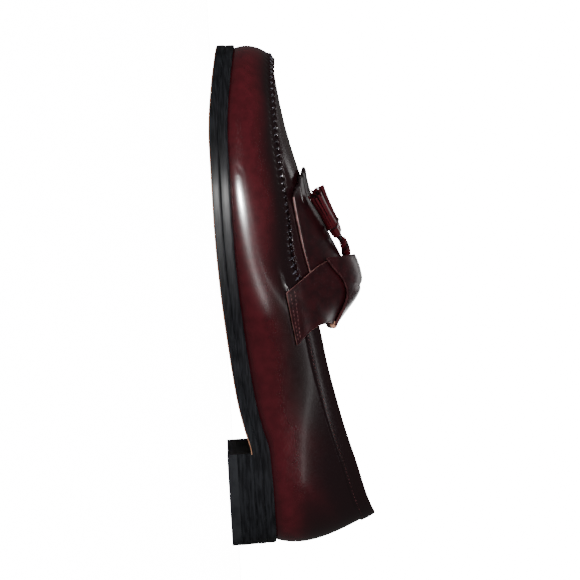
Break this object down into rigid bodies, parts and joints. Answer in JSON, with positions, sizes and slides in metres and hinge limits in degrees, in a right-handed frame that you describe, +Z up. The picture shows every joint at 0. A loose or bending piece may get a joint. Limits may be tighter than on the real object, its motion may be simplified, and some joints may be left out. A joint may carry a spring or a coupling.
{
  "type": "tassel loafer",
  "caption": "Low slip-on leather shoe with a hand-sewn toe panel, fringed flap, saddle strap and tassels on a welted sole with a low stacked heel.",
  "frame": {"origin": "on the floor, under the middle of the shoe's bounding box", "axes": "+X toward the toe, +Y to the shoe's left, which is the inner side of this right shoe, +Z up"},
  "size_m": [0.2954, 0.1034, 0.0869],
  "materials": {
    "upper_leather": "polished burgundy",
    "edge_leather": "dark inked edge",
    "sole_leather": "natural tan",
    "heel_rubber": "matt black"
  },
  "bodies": {
    "root": {"upper": "upper_leather", "fringed_flap": "upper_leather", "saddle_strap": "upper_leather", "keeper_tab": "upper_leather", "tassel_near": "upper_leather", "tassel_far": "upper_leather", "tassel_lace": "upper_leather", "insole": "sole_leather", "outsole": "sole_leather", "midsole": "edge_leather", "heel_lift_upper": "edge_leather", "heel_lift_lower": "edge_leather", "heel_top_piece": "heel_rubber"}
  },
  "joints": []
}
